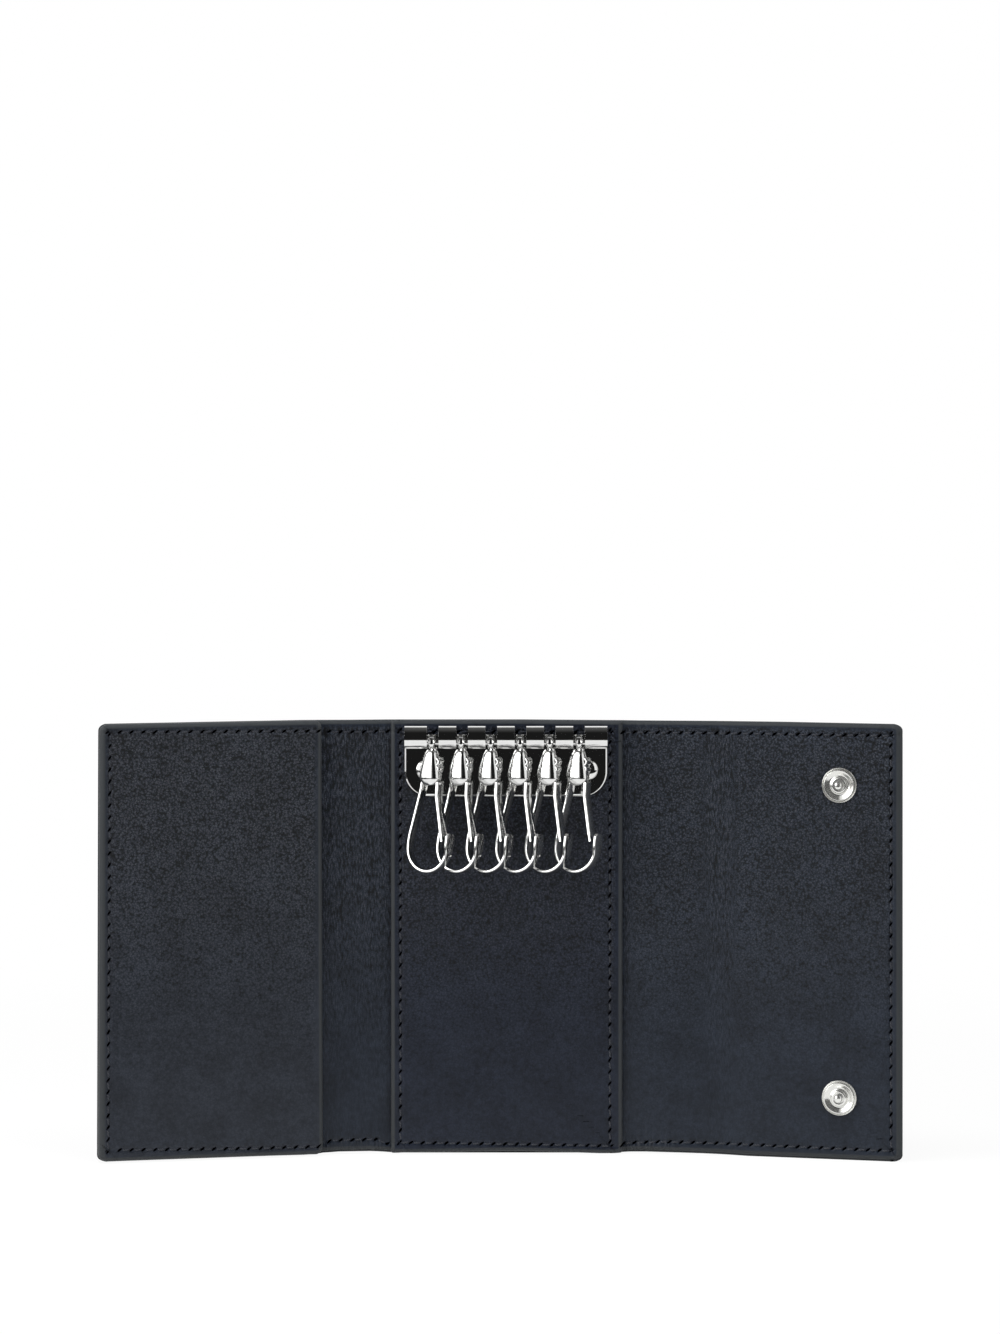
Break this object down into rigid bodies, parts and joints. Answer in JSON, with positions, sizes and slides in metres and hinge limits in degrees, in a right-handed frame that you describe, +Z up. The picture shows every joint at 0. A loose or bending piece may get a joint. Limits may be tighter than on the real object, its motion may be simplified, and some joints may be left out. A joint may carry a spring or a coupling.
{
  "type": "leather key case",
  "caption": "Folding leather key case, open and standing upright, with swinging gated key hooks on a curled metal plate, press snaps on the flap and a side pocket.",
  "frame": {"origin": "middle of the bounding box's bottom face: the case stands on its lower edges, opened like a folding screen", "axes": "+X runs along the opened case from the pocket panel to the snap flap; +Y points out of the closed outer face of the centre panel, so -Y faces the viewer of the hooks; +Z is up, from the hooks' free ends to the key plate"},
  "size_m": [0.2026, 0.0198, 0.11],
  "materials": {
    "leather": "fine pebbled near-black navy leather, semi-matte",
    "lining": "thin smooth near-black navy lining leather, matte",
    "board": "plain tan leatherboard stiffener, matte, hidden between the layers",
    "chrome": "bright mirror plating",
    "steel": "plain drawn steel",
    "brass": "plain brass, hidden between the layers"
  },
  "bodies": {
    "centre": {"outer_leather_centre": "leather", "centre_stiffener": "board", "centre_overlay": "leather", "key_plate": "chrome", "key_bar": "steel", "plate_rivet_left": "chrome", "plate_rivet_right": "chrome", "rivet_burr_left": "brass", "rivet_burr_right": "brass"},
    "left_spine": {"outer_leather_left_spine": "leather", "left_spine_lining": "lining"},
    "left_panel": {"outer_leather_left_panel": "leather", "left_panel_stiffener": "board", "left_panel_lining": "lining", "pocket_front": "leather", "snap_socket_upper": "chrome", "snap_socket_lower": "chrome", "socket_eyelet_upper": "brass", "socket_eyelet_lower": "brass"},
    "right_spine": {"outer_leather_right_spine": "leather", "right_spine_lining": "lining"},
    "right_flap": {"outer_leather_right_flap": "leather", "right_flap_lining": "lining", "snap_stud_upper": "chrome", "snap_stud_lower": "chrome", "snap_post_upper": "brass", "snap_post_lower": "brass"},
    "hook_1_swinger": {"hook_1_eye": "steel"},
    "hook_1": {"hook_1_head": "chrome", "hook_1_loop": "chrome"},
    "hook_1_tongue": {"hook_1_gate": "chrome"},
    "hook_2_swinger": {"hook_2_eye": "steel"},
    "hook_2": {"hook_2_head": "chrome", "hook_2_loop": "chrome"},
    "hook_2_tongue": {"hook_2_gate": "chrome"},
    "hook_3_swinger": {"hook_3_eye": "steel"},
    "hook_3": {"hook_3_head": "chrome", "hook_3_loop": "chrome"},
    "hook_3_tongue": {"hook_3_gate": "chrome"},
    "hook_4_swinger": {"hook_4_eye": "steel"},
    "hook_4": {"hook_4_head": "chrome", "hook_4_loop": "chrome"},
    "hook_4_tongue": {"hook_4_gate": "chrome"},
    "hook_5_swinger": {"hook_5_eye": "steel"},
    "hook_5": {"hook_5_head": "chrome", "hook_5_loop": "chrome"},
    "hook_5_tongue": {"hook_5_gate": "chrome"},
    "hook_6_swinger": {"hook_6_eye": "steel"},
    "hook_6": {"hook_6_head": "chrome", "hook_6_loop": "chrome"},
    "hook_6_tongue": {"hook_6_gate": "chrome"}
  },
  "joints": [
    {"name": "left_spine_fold", "type": "hinge", "parent": "centre", "child": "left_spine", "pos_m": [-0.02798, 0.00763, 0.055], "axis": [0, 0, 1], "range_deg": [-8, 82]},
    {"name": "left_panel_fold", "type": "hinge", "parent": "left_spine", "child": "left_panel", "pos_m": [-0.0467, 0.005, 0.055], "axis": [0, 0, 1], "range_deg": [-5, 85]},
    {"name": "right_spine_fold", "type": "hinge", "parent": "centre", "child": "right_spine", "pos_m": [0.03062, 0.00763, 0.055], "axis": [0, 0, -1], "range_deg": [-8, 82]},
    {"name": "right_flap_fold", "type": "hinge", "parent": "right_spine", "child": "right_flap", "pos_m": [0.05488, 0.00422, 0.055], "axis": [0, 0, -1], "range_deg": [-6.8, 83.2]},
    {"name": "hook_1_swing", "type": "hinge", "parent": "centre", "child": "hook_1_swinger", "pos_m": [-0.01743, 0.00253, 0.10502], "axis": [1, 0, 0], "range_deg": [-90, 0]},
    {"name": "hook_1_swivel", "type": "hinge", "parent": "hook_1_swinger", "child": "hook_1", "pos_m": [-0.01683, 0.00253, 0.10502], "axis": [-0.0698, -0.1129, -0.9912], "range_deg": [-12, 8]},
    {"name": "hook_1_gate_spring", "type": "hinge", "parent": "hook_1", "child": "hook_1_tongue", "pos_m": [-0.01602, 0.00072, 0.0975], "axis": [0.5722, 0.8094, -0.1325], "range_deg": [0, 11], "stiffness_Nm_per_rad": 0.02, "springref_deg": -5.73},
    {"name": "hook_2_swing", "type": "hinge", "parent": "centre", "child": "hook_2_swinger", "pos_m": [-0.00993, 0.00253, 0.10502], "axis": [1, 0, 0], "range_deg": [-90, 0]},
    {"name": "hook_2_swivel", "type": "hinge", "parent": "hook_2_swinger", "child": "hook_2", "pos_m": [-0.00933, 0.00253, 0.10502], "axis": [-0.0698, -0.1129, -0.9912], "range_deg": [-12, 8]},
    {"name": "hook_2_gate_spring", "type": "hinge", "parent": "hook_2", "child": "hook_2_tongue", "pos_m": [-0.00851, 0.00072, 0.0975], "axis": [0.5722, 0.8094, -0.1325], "range_deg": [0, 11], "stiffness_Nm_per_rad": 0.02, "springref_deg": -5.73},
    {"name": "hook_3_swing", "type": "hinge", "parent": "centre", "child": "hook_3_swinger", "pos_m": [-0.00243, 0.00253, 0.10502], "axis": [1, 0, 0], "range_deg": [-90, 0]},
    {"name": "hook_3_swivel", "type": "hinge", "parent": "hook_3_swinger", "child": "hook_3", "pos_m": [-0.00183, 0.00253, 0.10502], "axis": [-0.0698, -0.1129, -0.9912], "range_deg": [-12, 8]},
    {"name": "hook_3_gate_spring", "type": "hinge", "parent": "hook_3", "child": "hook_3_tongue", "pos_m": [-0.00102, 0.00072, 0.0975], "axis": [0.5722, 0.8094, -0.1325], "range_deg": [0, 11], "stiffness_Nm_per_rad": 0.02, "springref_deg": -5.73},
    {"name": "hook_4_swing", "type": "hinge", "parent": "centre", "child": "hook_4_swinger", "pos_m": [0.00507, 0.00253, 0.10502], "axis": [1, 0, 0], "range_deg": [-90, 0]},
    {"name": "hook_4_swivel", "type": "hinge", "parent": "hook_4_swinger", "child": "hook_4", "pos_m": [0.00567, 0.00253, 0.10502], "axis": [-0.0698, -0.1129, -0.9912], "range_deg": [-12, 8]},
    {"name": "hook_4_gate_spring", "type": "hinge", "parent": "hook_4", "child": "hook_4_tongue", "pos_m": [0.00649, 0.00072, 0.0975], "axis": [0.5722, 0.8094, -0.1325], "range_deg": [0, 11], "stiffness_Nm_per_rad": 0.02, "springref_deg": -5.73},
    {"name": "hook_5_swing", "type": "hinge", "parent": "centre", "child": "hook_5_swinger", "pos_m": [0.01257, 0.00253, 0.10502], "axis": [1, 0, 0], "range_deg": [-90, 0]},
    {"name": "hook_5_swivel", "type": "hinge", "parent": "hook_5_swinger", "child": "hook_5", "pos_m": [0.01317, 0.00253, 0.10502], "axis": [-0.0698, -0.1129, -0.9912], "range_deg": [-12, 8]},
    {"name": "hook_5_gate_spring", "type": "hinge", "parent": "hook_5", "child": "hook_5_tongue", "pos_m": [0.01398, 0.00072, 0.0975], "axis": [0.5722, 0.8094, -0.1325], "range_deg": [0, 11], "stiffness_Nm_per_rad": 0.02, "springref_deg": -5.73},
    {"name": "hook_6_swing", "type": "hinge", "parent": "centre", "child": "hook_6_swinger", "pos_m": [0.02007, 0.00253, 0.10502], "axis": [1, 0, 0], "range_deg": [-90, 0]},
    {"name": "hook_6_swivel", "type": "hinge", "parent": "hook_6_swinger", "child": "hook_6", "pos_m": [0.02067, 0.00253, 0.10502], "axis": [-0.0698, -0.1129, -0.9912], "range_deg": [-12, 8]},
    {"name": "hook_6_gate_spring", "type": "hinge", "parent": "hook_6", "child": "hook_6_tongue", "pos_m": [0.02149, 0.00072, 0.0975], "axis": [0.5722, 0.8094, -0.1325], "range_deg": [0, 11], "stiffness_Nm_per_rad": 0.02, "springref_deg": -5.73}
  ],
  "couplings": [
    {"joint": "hook_2_swing", "follows": "hook_1_swing", "ratio": 1},
    {"joint": "hook_3_swing", "follows": "hook_1_swing", "ratio": 1},
    {"joint": "hook_4_swing", "follows": "hook_1_swing", "ratio": 1},
    {"joint": "hook_5_swing", "follows": "hook_1_swing", "ratio": 1},
    {"joint": "hook_6_swing", "follows": "hook_1_swing", "ratio": 1}
  ]
}
